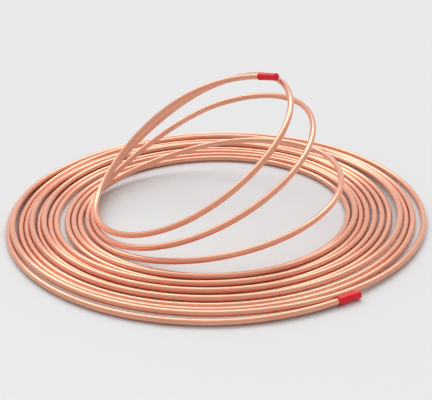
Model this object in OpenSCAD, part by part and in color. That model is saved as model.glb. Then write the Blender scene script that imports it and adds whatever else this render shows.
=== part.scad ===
// A loose coil of soft copper tube with a plastic cap on each end.
// The tube starts at the outer cap, lies in flat turns that wind inwards, and ends
// in loops that stand up like a fan from one side of the coil.

/* [Tube] */
// Outside diameter of the tube
tube_d = 6.35; // [4.8:0.05:8]
// Wall of the tube
tube_wall = 0.8; // [0.6:0.05:1.2]

/* [Coil] */
// Diameter over the outermost turn
coil_d = 453; // [370:1:620]
// Tilt of each standing loop, lowest loop first
loop_tilts = [9, 24.5, 33]; // [0:0.5:45]
// Direction of the low side of the standing loops, counter-clockwise from the right
hinge_azimuth = 195; // [180:1:210]
// Length of the straight stretch at each end of the tube
end_stretch = 23; // [15:1:30]

/* [End caps] */
// Wall of a cap
cap_wall = 0.75; // [0.5:0.05:1.2]
// Gap between the tube and a cap
cap_clearance = 0.1; // [0.05:0.05:0.3]
// Thickness of a cap's closed end
cap_end = 1.6; // [1:0.1:3]
// How far the bead at a cap's mouth stands out
cap_bead = 0.25; // [0:0.05:0.5]
// Length of the bead at a cap's mouth
cap_bead_length = 1.2; // [0.5:0.1:3]

/* [Quality] */
// Steps along each quarter turn
quarter_steps = 7; // [4:1:7]

/* [Hidden] */

tube_sides = 8;
bore_sides = 6;
bore_past = 1;            // the bore's cut runs out past both ends of the tube
cap_facets = 48;

tube_r = tube_d / 2;
bore_r = tube_r - tube_wall;
rim_r = coil_d / 2 - tube_r;
cap_bore_r = tube_r + cap_clearance;
cap_r = cap_bore_r + cap_wall;
bead_r = cap_r + cap_bead;
cap_tip_gap = 0.3;

// Each quarter turn starts at one side of the coil: front, left, back, right.
// One row per side, one value per pass, outermost pass first.
// How far the pass lies inside the rim, in tube diameters
INSET = [
  [0, 1.6, 3.1, 4.2, 5.2, 6.35, 7.35, 8.4, 9.4, 10.4, 11.45, 12.6, 13.65, 14.6, 17.9],
  [0, 0.7, 1.9, 2.95, 3.85, 4.95, 5.8, 6.8, 7.85, 9.75, 10.85, 12, 13.2, 14.4, 15.65],
  [0, 1.45, 2.45, 3.55, 4.7, 5.75, 6.75, 7.9, 9.1, 10.8, 12.4, 15.5, 15, 14.7, 21.2],
  [0, 1.85, 2.95, 3.95, 5.7, 6.9, 8.15, 9.4, 10.5, 11.5, 12.6, 13.6, 15.65, 16.9, 15.85]
];
// How far the pass rides up on its neighbours, in tube diameters
LIFT = [
  [0, 0.4, 0, 0, 0.65, 0, 0.65, 0, 0.65, 0, 0.65, 0, 0, 0, 0],
  [0, 0.8, 0, 0, 0.65, 0, 0.65, 0, 0, 0, 0, 0, 0, 0.5, 1.8],
  [0, 0, 0.6, 0, 0, 0, 0.7, 0, 0, 0, 0, 0, 0, 0, 4.05],
  [0, 0, 0, 0.6, 0, 0, 0, 0, 0, 0.6, 0, 0, 0, 0, 1.3]
];
LEFT = 1;                 // row of the left side, where the loops are hinged
sides = len(INSET);
passes = len(INSET[0]);
first_loop = passes - 1 - len(loop_tilts); // pass after which the tube first stands up

// A place along the tube is a number of quarter turns from the front of the first turn
start_at = -0.32;
end_at = sides * (passes - 1) + 2.64;
hinge_at = (270 - hinge_azimuth) / 90;
rise_delay = 0.5;         // quarter turns from the hinge to the middle of a change of tilt
rise_length = 1.6;        // quarter turns that a change of tilt takes

function clamp(x, low, high) = max(low, min(high, x));
function eased(t) = let (c = clamp(t, 0, 1)) c * c * (3 - 2 * c);
function azimuth(at) = 270 - 90 * at;

// Smooth curve through four neighbouring values, from the second (t = 0) to the third (t = 1)
function spline(a, b, c, d, t) =
  b + t * ((c - a) + t * ((2 * a - 5 * b + 4 * c - d) + t * (3 * b - a - 3 * c + d))) / 2;
function along(values, x) = let (
    i = floor(x),
    v = [for (k = [-1:2]) values[clamp(i + k, 0, len(values) - 1)]]
  ) spline(v[0], v[1], v[2], v[3], x - i);

// Values of all sides in the order that the tube passes them
function in_order(rows) = [for (k = [0:passes - 1], side = [0:sides - 1]) rows[side][k]];
DISTANCES = rim_r * [for (v = in_order(INSET)) 1] - tube_d * in_order(INSET);
HINGE_DISTANCES = [for (v = INSET[LEFT]) rim_r - tube_d * v];
LIFTS = tube_d * in_order(LIFT);

function distance_at(at) = along(DISTANCES, at);
function lift_at(at) = let (
    i = floor(at),
    from = LIFTS[clamp(i, 0, len(LIFTS) - 1)],
    to = LIFTS[clamp(i + 1, 0, len(LIFTS) - 1)]
  ) at < 0 ? (bead_r - tube_r) * eased(at / start_at) : from + (to - from) * eased(at - i);

// Tilt of the plane that the tube lies in, which grows each time it passes the hinge
function tilt_step(n) = loop_tilts[n] - (n > 0 ? loop_tilts[n - 1] : 0);
function tilt_at(at, n = 0) = n == len(loop_tilts) ? 0 :
  tilt_step(n) * eased((at - sides * (first_loop + n) - hinge_at - rise_delay) / rise_length + 0.5)
  + tilt_at(at, n + 1);

// Centre of the tube: a point of the flat spiral, turned up about its hinge line
function centre(at) = let (
    tilt = tilt_at(at),
    hinge = [cos(hinge_azimuth), sin(hinge_azimuth), 0],
    flat = distance_at(at) * [cos(azimuth(at)), sin(azimuth(at)), 0],
    reach = max(0, along(HINGE_DISTANCES, (at - hinge_at) / sides) - flat * hinge),
    lift = lift_at(at),
    turned = [reach * cos(tilt) - lift * sin(tilt), reach * sin(tilt) + lift * cos(tilt)]
  ) flat + (reach - turned[0]) * hinge + [0, 0, tube_r + turned[1]];

function unit(v) = v / norm(v);
function heading(at, step = 0.01) = unit(centre(at + step) - centre(at - step));

// Points along the centre line, with a straight stretch at each end
STEPS = [for (i = [ceil(start_at * quarter_steps):floor(end_at * quarter_steps)]) i / quarter_steps];
START = centre(start_at);
END = centre(end_at);
CENTRES = concat(
  [START - end_stretch * heading(start_at), START],
  [for (at = STEPS) centre(at)],
  [END, END + end_stretch * heading(end_at)]
);
last = len(CENTRES) - 1;
function direction(i) = i == 0 ? unit(CENTRES[1] - CENTRES[0])
  : i == last ? unit(CENTRES[last] - CENTRES[last - 1])
  : unit(unit(CENTRES[i + 1] - CENTRES[i]) + unit(CENTRES[i] - CENTRES[i - 1]));

// Corners of the tube's section at point i, for a circle of radius r. At either end of the
// tube the section lies further out, by the length past
function ring(i, r, corners, past) = let (
    ahead = direction(i),
    across = unit(cross(ahead, [0, 0, 1])),
    up = cross(across, ahead),
    place = CENTRES[i] + past * (i == 0 ? -ahead : i == last ? ahead : 0 * ahead)
  ) [for (k = [0:corners - 1]) place + r * (cos(360 * k / corners) * across + sin(360 * k / corners) * up)];

// Faces between neighbouring rings
function skin(corners) = [
  for (i = [0:last - 1], k = [0:corners - 1]) let (
    a = i * corners + k,
    b = i * corners + (k + 1) % corners
  ) [a, b, b + corners, a + corners]
];

module swept(r, corners, past = 0) {
  points = [for (i = [0:last]) each ring(i, r, corners, past)];
  near = [for (k = [corners - 1:-1:0]) k];
  far = [for (k = [0:corners - 1]) last * corners + k];
  polyhedron(points, concat(skin(corners), [near, far]), convexity = 20);
}

module copper_tube() color("peru") difference() {
  swept(tube_r, tube_sides);
  swept(bore_r, bore_sides, bore_past);
}

// Cap along +Z, with its mouth at the origin
module end_cap() {
  inside = end_stretch + cap_tip_gap;
  length = inside + cap_end;
  edge = cap_end / 2;
  rotate_extrude($fn = cap_facets) difference() {
    union() {
      square([cap_r - edge, length]);
      square([cap_r, length - edge]);
      translate([cap_r - edge, length - edge]) circle(edge);
      square([bead_r, cap_bead_length]);
    }
    square([cap_bore_r, inside]);
  }
}

module on_end(place, ahead) {
  across = unit(cross(ahead, [0, 0, 1]));
  up = cross(across, ahead);
  multmatrix([for (i = [0:2]) [up[i], across[i], ahead[i], place[i]]]) children();
}

module outer_end_cap() color("crimson") on_end(START, -heading(start_at)) end_cap();

module inner_end_cap() color("crimson") on_end(END, heading(end_at)) end_cap();

copper_tube();
outer_end_cap();
inner_end_cap();
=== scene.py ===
"""Looks for the copper tube coil.

A smooth tube along the CAD's own path takes the place of the faceted one, and two moulded
caps close its ends. Materials, floor, surroundings and camera follow.
"""

from math import cos, pi, radians, sin

import bpy
import numpy as np
from mathutils import Matrix, Vector


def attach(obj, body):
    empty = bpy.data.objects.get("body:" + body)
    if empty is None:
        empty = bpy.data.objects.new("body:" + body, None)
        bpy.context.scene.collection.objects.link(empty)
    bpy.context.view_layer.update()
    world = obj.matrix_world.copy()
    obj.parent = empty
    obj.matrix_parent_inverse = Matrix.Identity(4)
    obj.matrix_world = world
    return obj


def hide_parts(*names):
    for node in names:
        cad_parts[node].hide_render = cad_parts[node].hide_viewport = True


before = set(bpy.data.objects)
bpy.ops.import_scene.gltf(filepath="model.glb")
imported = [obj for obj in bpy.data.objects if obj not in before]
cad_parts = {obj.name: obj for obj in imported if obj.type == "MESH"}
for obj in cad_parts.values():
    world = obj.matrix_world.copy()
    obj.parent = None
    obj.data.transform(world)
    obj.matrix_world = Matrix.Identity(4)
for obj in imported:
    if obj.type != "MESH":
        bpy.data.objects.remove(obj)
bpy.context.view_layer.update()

# ---------------------------------------------------------------- sizes in metres, as in the CAD
TUBE_D = 0.00635
TUBE_WALL = 0.0008
COIL_D = 0.453
LOOP_TILTS = (9, 24.5, 33)
HINGE_AZIMUTH = radians(195)
END_STRETCH = 0.023
CAP_WALL = 0.00075
CAP_CLEARANCE = 0.0001
CAP_END = 0.0016
CAP_BEAD = 0.00025
CAP_BEAD_LENGTH = 0.0012
CAP_TIP_GAP = 0.0003

TUBE_R = TUBE_D / 2
BORE_R = TUBE_R - TUBE_WALL
RIM_R = COIL_D / 2 - TUBE_R
CAP_BORE_R = TUBE_R + CAP_CLEARANCE
CAP_R = CAP_BORE_R + CAP_WALL
BEAD_R = CAP_R + CAP_BEAD

# ---------------------------------------------------------------- path of the tube, as in the CAD
# One row per side (front, left, back, right), one value per pass, outermost pass first,
# in tube diameters: how far the pass lies inside the rim, and how far it rides up
INSET = np.array([
    [0, 1.6, 3.1, 4.2, 5.2, 6.35, 7.35, 8.4, 9.4, 10.4, 11.45, 12.6, 13.65, 14.6, 17.9],
    [0, 0.7, 1.9, 2.95, 3.85, 4.95, 5.8, 6.8, 7.85, 9.75, 10.85, 12, 13.2, 14.4, 15.65],
    [0, 1.45, 2.45, 3.55, 4.7, 5.75, 6.75, 7.9, 9.1, 10.8, 12.4, 15.5, 15, 14.7, 21.2],
    [0, 1.85, 2.95, 3.95, 5.7, 6.9, 8.15, 9.4, 10.5, 11.5, 12.6, 13.6, 15.65, 16.9, 15.85],
])
LIFT = np.array([
    [0, 0.4, 0, 0, 0.65, 0, 0.65, 0, 0.65, 0, 0.65, 0, 0, 0, 0],
    [0, 0.8, 0, 0, 0.65, 0, 0.65, 0, 0, 0, 0, 0, 0, 0.5, 1.8],
    [0, 0, 0.6, 0, 0, 0, 0.7, 0, 0, 0, 0, 0, 0, 0, 4.05],
    [0, 0, 0, 0.6, 0, 0, 0, 0, 0, 0.6, 0, 0, 0, 0, 1.3],
])
LEFT = 1                          # row of the left side, where the loops are hinged
SIDES, PASSES = INSET.shape
FIRST_LOOP = PASSES - 1 - len(LOOP_TILTS)

# A place along the tube is a number of quarter turns from the front of the first turn
START_AT = -0.32
END_AT = SIDES * (PASSES - 1) + 2.64
HINGE_AT = (1.5 * pi - HINGE_AZIMUTH) / (pi / 2)
RISE_DELAY = 0.5
RISE_LENGTH = 1.6

DISTANCES = RIM_R - TUBE_D * INSET.T.ravel()
HINGE_DISTANCES = RIM_R - TUBE_D * INSET[LEFT]
LIFTS = TUBE_D * LIFT.T.ravel()


def eased(t):
    c = np.clip(t, 0, 1)
    return c * c * (3 - 2 * c)


def along(values, x):
    """Smooth curve through the values, at the places x."""
    i = np.floor(x).astype(int)
    t = x - i
    a, b, c, d = (values[np.clip(i + k, 0, len(values) - 1)] for k in (-1, 0, 1, 2))
    return b + t * ((c - a) + t * ((2 * a - 5 * b + 4 * c - d) + t * (3 * b - a - 3 * c + d))) / 2


def lift_at(at):
    """How far the tube rides up. Past the first turn's start, the outer cap's bead lifts it."""
    i = np.floor(at).astype(int)
    low, high = (LIFTS[np.clip(i + k, 0, len(LIFTS) - 1)] for k in (0, 1))
    raised = (BEAD_R - TUBE_R) * eased(at / START_AT)
    return np.where(at < 0, raised, low + (high - low) * eased(at - i))


def tilt_at(at):
    """Tilt of the plane that the tube lies in, which grows each time it passes the hinge."""
    total, before = np.zeros_like(at), 0
    for n, tilt in enumerate(LOOP_TILTS):
        middle = SIDES * (FIRST_LOOP + n) + HINGE_AT + RISE_DELAY
        total += radians(tilt - before) * eased((at - middle) / RISE_LENGTH + 0.5)
        before = tilt
    return total


def centre(at):
    """Centre of the tube: a point of the flat spiral, turned up about its hinge line."""
    at = np.atleast_1d(np.asarray(at, float))
    azimuth = 1.5 * pi - at * pi / 2
    radial = np.stack([np.cos(azimuth), np.sin(azimuth), 0 * at], 1)
    flat = along(DISTANCES, at)[:, None] * radial
    hinge = np.array([cos(HINGE_AZIMUTH), sin(HINGE_AZIMUTH), 0])
    reach = np.maximum(0, along(HINGE_DISTANCES, (at - HINGE_AT) / SIDES) - flat @ hinge)
    tilt, lift = tilt_at(at), lift_at(at)
    place = flat + (reach - reach * np.cos(tilt) + lift * np.sin(tilt))[:, None] * hinge
    place[:, 2] = TUBE_R + reach * np.sin(tilt) + lift * np.cos(tilt)
    return place


def unit(v):
    return v / np.linalg.norm(v, axis=-1, keepdims=True)


def heading(at, step=0.01):
    return unit(centre(at + step) - centre(at - step))[0]


def sideways(ahead):
    """Level direction across the tube, and the one square to both."""
    across = unit(np.cross(ahead, (0, 0, 1)))
    return across, np.cross(across, ahead)


def new_object(name, vertices, faces, material, uv=None):
    mesh = bpy.data.meshes.new(name)
    mesh.from_pydata([tuple(v) for v in vertices], [], [tuple(f) for f in faces])
    mesh.materials.append(material)
    mesh.polygons.foreach_set("use_smooth", [True] * len(mesh.polygons))
    for layer, values in (uv or {}).items():
        made = mesh.uv_layers.new(name=layer)
        made.data.foreach_set("uv", np.asarray(values, np.float32).ravel())
    mesh.validate()
    o = bpy.data.objects.new(name, mesh)
    bpy.context.scene.collection.objects.link(o)
    return o


# ---------------------------------------------------------------- materials
def material(name):
    m = bpy.data.materials.new(name)
    m.use_nodes = True
    tree = m.node_tree
    return m, tree, tree.nodes["Principled BSDF"]


def node(tree, kind, **settings):
    n = tree.nodes.new("ShaderNode" + kind)
    for key, value in settings.items():
        if key in n.inputs:
            n.inputs[key].default_value = value
        else:
            setattr(n, key, value)
    return n


def noise(tree, vector, scale, detail, roughness=0.55):
    n = node(tree, "TexNoise", Scale=scale, Detail=detail, Roughness=roughness)
    tree.links.new(vector, n.inputs["Vector"])
    return n.outputs["Fac"]


def ramp(tree, value, stops):
    """Colour of a value. A stop is (place, colour) or (place, (grey,))."""
    r = node(tree, "ValToRGB")
    tree.links.new(value, r.inputs["Fac"])
    while len(r.color_ramp.elements) < len(stops):
        r.color_ramp.elements.new(0.5)
    for e, (at, colour) in zip(r.color_ramp.elements, stops):
        e.position = at
        e.color = (*colour, 1) if len(colour) == 3 else (*[colour[0]] * 3, 1)
    return r.outputs["Color"]


def mapped(tree, value, source, target, **settings):
    """The value, with the range source stretched to the range target."""
    r = node(tree, "MapRange", **settings)
    for key, limit in zip(("From Min", "From Max", "To Min", "To Max"), (*source, *target)):
        r.inputs[key].default_value = limit
    tree.links.new(value, r.inputs["Value"])
    return r.outputs["Result"]


def bumped(tree, height, strength, distance, shader):
    bump = node(tree, "Bump", Strength=strength, Distance=distance)
    tree.links.new(height, bump.inputs["Height"])
    tree.links.new(bump.outputs["Normal"], shader.inputs["Normal"])


LINES_ROUND = 1400                # drawing lines for each metre round the tube
LINES_ALONG = 14                  # and how often they change for each metre along it
LINES_SHOW = 0.4                  # how much the lines darken the copper
LINE_DEPTH = 0.00005
COPPER_CLOUDS = [
    (0.3, (0.84, 0.37, 0.24)),
    (0.55, (0.88, 0.41, 0.27)),
    (0.75, (0.92, 0.47, 0.32)),
]
COPPER_LINES = [(0.25, (0.78,)), (0.6, (1.0,))]
RED_CLOUDS = [(0.3, (0.72, 0.005, 0.013)), (0.7, (0.84, 0.008, 0.02))]
CAP_DIMPLES = 0.0002
FLOOR_GREY = (0.71, 0.71, 0.713, 1)


def copper():
    m, tree, shader = material("copper")
    link = tree.links.new
    place = node(tree, "TexCoord").outputs["Object"]
    uv = node(tree, "UVMap", uv_map="Length").outputs["UV"]
    stretched = node(tree, "Mapping", Scale=(LINES_ROUND, LINES_ALONG, 1))
    link(uv, stretched.inputs["Vector"])
    cloud = noise(tree, place, 14, 3)
    lines = noise(tree, stretched.outputs["Vector"], 1.0, 3, 0.6)
    mix = node(tree, "MixRGB", blend_type="MULTIPLY", Fac=LINES_SHOW)
    link(ramp(tree, cloud, COPPER_CLOUDS), mix.inputs["Color1"])
    link(ramp(tree, lines, COPPER_LINES), mix.inputs["Color2"])
    link(mix.outputs["Color"], shader.inputs["Base Color"])
    shader.inputs["Metallic"].default_value = 0.7
    shader.inputs["Coat Weight"].default_value = 0.3
    shader.inputs["Coat Roughness"].default_value = 0.15
    link(mapped(tree, lines, (0.3, 0.7), (0.12, 0.22)), shader.inputs["Roughness"])
    bumped(tree, lines, 0.15, LINE_DEPTH, shader)
    return m


def cap_plastic():
    m, tree, shader = material("cap_plastic")
    place = node(tree, "TexCoord").outputs["Object"]
    cloud = noise(tree, place, 220, 3)
    tree.links.new(ramp(tree, cloud, RED_CLOUDS), shader.inputs["Base Color"])
    shader.inputs["Roughness"].default_value = 0.15
    shader.inputs["Specular IOR Level"].default_value = 0.35
    bumped(tree, cloud, 0.2, CAP_DIMPLES, shader)
    return m


COPPER = copper()
RED = cap_plastic()

# ---------------------------------------------------------------- the tube
RINGS_A_QUARTER = 26
OUT_SIDES, BORE_SIDES = 24, 12    # the cut faces need two outside for each one in the bore
CLEAR_OF_ENDS = 0.004             # quarter turns without a ring next to the straight stretches
STRAIGHT_PARTS = 4                # steps of each straight stretch

# The bake map: rows of the outside, rows of the bore above them, the cut faces at the top
OUT_ROWS, BORE_ROWS = 28, 7
OUT_HIGH, BORE_HIGH = 0.84, 0.96
STRIP_GAP, STRIP_SIDE = 0.004, 0.05
DISC_SHARE = 0.45                 # radius of a cut face, as a share of the height of its band
NEAR_DISC, FAR_DISC = 0.25, 0.75  # where the cut faces lie across the map


def strips(length, rows, sides, low, high):
    """Places in the bake map for the quads of a long tube, cut into rows above each other."""
    n = len(length) - 1
    first = [-(-row * n // rows) for row in range(rows + 1)]
    step = (high - low) / rows

    def corners(i, k):
        row = i * rows // n
        start, end = length[first[row]], length[first[row + 1]]
        u0, u1 = (
            (length[j] - start) / (end - start) * (1 - 2 * STRIP_GAP) + STRIP_GAP
            for j in (i, i + 1)
        )
        v0, v1 = (
            low + step * (row + STRIP_SIDE + (1 - 2 * STRIP_SIDE) * j / sides)
            for j in (k, k + 1)
        )
        return [(u0, v0), (u0, v1), (u1, v1), (u1, v0)]
    return corners


def centre_line():
    """Points along the middle of the tube, from the outer end to the inner one."""
    at = np.arange(int(START_AT * RINGS_A_QUARTER) + 1, END_AT * RINGS_A_QUARTER) / RINGS_A_QUARTER
    at = at[(at > START_AT + CLEAR_OF_ENDS) & (at < END_AT - CLEAR_OF_ENDS)]
    straight = np.linspace(END_STRETCH, 0, STRAIGHT_PARTS + 1)[:, None]
    outer_end = centre(START_AT)[0] - straight * heading(START_AT)
    inner_end = centre(END_AT)[0] + straight[::-1] * heading(END_AT)
    return np.concatenate([outer_end, centre(at), inner_end])


def tube():
    points = centre_line()
    n = len(points)
    steps = unit(np.diff(points, axis=0))
    ahead = unit(np.concatenate([steps[:1], steps[:-1] + steps[1:], steps[-1:]]))
    across, up = sideways(ahead)
    step_lengths = np.linalg.norm(np.diff(points, axis=0), axis=1)
    length = np.concatenate([[0], np.cumsum(step_lengths)])

    vertices, faces, uv, atlas = [], [], [], []
    base = 0
    for r, sides, rows, low, high in (
        (TUBE_R, OUT_SIDES, OUT_ROWS, 0, OUT_HIGH),
        (BORE_R, BORE_SIDES, BORE_ROWS, OUT_HIGH, BORE_HIGH),
    ):
        turn = (2 * pi * np.arange(sides) / sides)[None, :, None]
        ring = np.cos(turn) * across[:, None] + np.sin(turn) * up[:, None]
        vertices.append((points[:, None] + r * ring).reshape(-1, 3))
        strip = strips(length, rows, sides, low, high)
        for i in range(n - 1):
            y0, y1 = length[i], length[i + 1]
            for k in range(sides):
                a, b = base + i * sides + k, base + i * sides + (k + 1) % sides
                quad = (a, b, b + sides, a + sides)
                x0, x1 = (j / sides * 2 * pi * r for j in (k, k + 1))
                corner = [(x0, y0), (x1, y0), (x1, y1), (x0, y1)]
                baked = strip(i, k)
                if r == TUBE_R:       # the outside faces outwards, the bore inwards
                    quad, corner, baked = quad[::-1], corner[::-1], baked[::-1]
                faces.append(quad)
                uv.extend(corner)
                atlas.extend(baked)
        base += n * sides

    # The cut faces at both ends. A corner is its vertex, its reach from the middle as a
    # share of the tube's radius, and its step round the outside
    bore = n * OUT_SIDES
    for i, way, disc in ((0, 1, NEAR_DISC), (n - 1, -1, FAR_DISC)):
        for k in range(BORE_SIDES):
            o = [(i * OUT_SIDES + j % OUT_SIDES, 1, j) for j in (2 * k, 2 * k + 1, 2 * k + 2)]
            b = [
                (bore + i * BORE_SIDES + j % BORE_SIDES, BORE_R / TUBE_R, 2 * j)
                for j in (k, k + 1)
            ]
            for f in ((o[0], o[1], b[0]), (o[1], o[2], b[1], b[0])):
                f = f[::way]
                faces.append([v for v, _, _ in f])
                uv.extend([(0, length[i])] * len(f))
                for _, reach, step in f:
                    turned = 2 * pi * step / OUT_SIDES * way
                    size = (1 - BORE_HIGH) * DISC_SHARE * reach
                    middle = (1 + BORE_HIGH) / 2
                    atlas.append((disc + size * cos(turned), middle + size * sin(turned)))
    maps = {"Length": uv, "OFBake": atlas}
    return new_object("copper_tube_drawn", np.concatenate(vertices), faces, COPPER, maps)


# ---------------------------------------------------------------- the caps
CAP_SIDES = 56
CAP_TIP_ROUNDING = 0.9            # of the closed end's thickness
BEAD_FULLNESS = 0.7               # below 1, the bead's outline is fuller than a sine
MOUTH_CHAMFER = 0.0002
MOUTH_CHAMFER_DEPTH = 0.0004
ARC_POINTS = 9
SIDE_PARTS = 13


def cap_outline():
    """Half section of a cap as (radius, height): up the bore, over the bead, to the tip."""
    inside = END_STRETCH + CAP_TIP_GAP
    length = inside + CAP_END
    edge = CAP_END * CAP_TIP_ROUNDING
    bore = [
        (CAP_BORE_R, inside),
        (CAP_BORE_R, MOUTH_CHAMFER_DEPTH),
        (CAP_BORE_R + MOUTH_CHAMFER, 0),
    ]
    bead = [
        (CAP_R + CAP_BEAD * max(0, sin(a)) ** BEAD_FULLNESS, CAP_BEAD_LENGTH * (1 - cos(a)) / 2)
        for a in np.linspace(0, pi, ARC_POINTS)
    ]
    side = [(CAP_R, z) for z in np.linspace(CAP_BEAD_LENGTH, length - edge, SIDE_PARTS + 1)]
    rounded = [
        (CAP_R - edge + edge * cos(a), length - edge + edge * sin(a))
        for a in np.linspace(0, pi / 2, ARC_POINTS)
    ]
    return bore + bead + side[1:-1] + rounded


def cap(name, place, ahead):
    """A dip-moulded cap, turned about its axis, open at its mouth."""
    outline = cap_outline()
    vertices = [
        (r * cos(a), r * sin(a), z)
        for r, z in outline
        for a in (2 * pi * k / CAP_SIDES for k in range(CAP_SIDES))
    ]
    faces = []
    for i in range(len(outline) - 1):
        for k in range(CAP_SIDES):
            a, b = i * CAP_SIDES + k, i * CAP_SIDES + (k + 1) % CAP_SIDES
            faces.append((a, b, b + CAP_SIDES, a + CAP_SIDES))
    rim = (len(outline) - 1) * CAP_SIDES
    floor_of_bore, tip = len(vertices), len(vertices) + 1
    vertices += [(0, 0, outline[0][1]), (0, 0, outline[-1][1])]
    for k in range(CAP_SIDES):
        after = (k + 1) % CAP_SIDES
        faces.append((k, floor_of_bore, after))
        faces.append((rim + k, rim + after, tip))
    across, up = sideways(ahead)
    turned = np.array(vertices) @ np.array([up, across, ahead]) + place
    return new_object(name, turned, faces, RED)


tube_piece = tube()
outer = cap("outer_cap_drawn", centre(START_AT)[0], -heading(START_AT))
inner = cap("inner_cap_drawn", centre(END_AT)[0], heading(END_AT))
for piece, replaced, slot in (
    (tube_piece, "copper_tube", "copper"),
    (outer, "outer_end_cap", "cap_plastic"),
    (inner, "inner_end_cap", "cap_plastic"),
):
    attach(piece, "root")
    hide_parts(replaced)

# ---------------------------------------------------------------- floor and surroundings
FLOOR_HALF = 30.0
FLOOR_BELOW = 0.0002
WALL_BRIGHT = (-0.12, 0.6, 0.79)  # way to the brightest part of the surroundings
WALL = [(0, (0.72,)), (0.2, (0.68,)), (0.5, (0.55,)), (0.8, (0.78,)), (1, (0.95,))]
LIGHT_AT = (-0.06, 0.58, 0.81)    # way to the middle of the wide light
LIGHT_SQUASH = (0.4, 1, 1)        # below 1 along X, which makes the light wider than deep
LIGHT_EDGE, LIGHT_CORE = 0.93, 0.975  # cosines of the angles where the light ends and is full
LIGHT = 2.3


def floor():
    m, tree, shader = material("floor")
    shader.inputs["Base Color"].default_value = FLOOR_GREY
    shader.inputs["Roughness"].default_value = 0.4
    shader.inputs["Specular IOR Level"].default_value = 0.3
    corners = [(x * FLOOR_HALF, y * FLOOR_HALF, 0) for x, y in ((-1, -1), (1, -1), (1, 1), (-1, 1))]
    o = new_object("floor", corners, [(0, 1, 2, 3)], m)
    o.location.z = -FLOOR_BELOW


def studio():
    """Surroundings: dim on the camera's side, bright behind, with a wide light high at the back."""
    world = bpy.data.worlds.new("studio")
    bpy.context.scene.world = world
    world.use_nodes = True
    tree = world.node_tree
    link = tree.links.new

    def vectors(operation, first, second=None):
        n = node(tree, "VectorMath", operation=operation)
        link(first, n.inputs[0])
        if second is not None:
            n.inputs[1].default_value = second
        return n

    way = node(tree, "TexCoord").outputs["Generated"]
    side = vectors("DOT_PRODUCT", way, WALL_BRIGHT).outputs["Value"]
    wall = ramp(tree, mapped(tree, side, (-1, 1), (0, 1)), WALL)
    wide = vectors("MULTIPLY", way, LIGHT_SQUASH).outputs["Vector"]
    even = vectors("NORMALIZE", wide).outputs["Vector"]
    towards = vectors("DOT_PRODUCT", even, Vector(LIGHT_AT).normalized()).outputs["Value"]
    light = mapped(
        tree, towards, (LIGHT_EDGE, LIGHT_CORE), (0, LIGHT), interpolation_type="SMOOTHSTEP"
    )
    total = vectors("ADD", wall)
    link(light, total.inputs[1])
    link(total.outputs["Vector"], tree.nodes["Background"].inputs["Color"])
    tree.nodes["Background"].inputs["Strength"].default_value = 1.0


floor()
studio()

# ---------------------------------------------------------------- camera
ELEVATION = radians(26.36)
DISTANCE = 1.012
AIM_ABOVE = radians(0.776)        # the camera looks this far above the frame's origin
ROLL = radians(-1.4)
LENS = 76.9

scene = bpy.context.scene
scene.view_settings.view_transform = "Standard"
camera = bpy.data.objects.new("camera", bpy.data.cameras.new("camera"))
scene.collection.objects.link(camera)
camera.data.lens = LENS
camera.data.clip_end = 50
camera.location = (0, -DISTANCE * cos(ELEVATION), DISTANCE * sin(ELEVATION))
aim = Matrix.Rotation(pi / 2 - ELEVATION + AIM_ABOVE, 4, "X")
camera.rotation_euler = (aim @ Matrix.Rotation(ROLL, 4, "Z")).to_euler()
scene.camera = camera
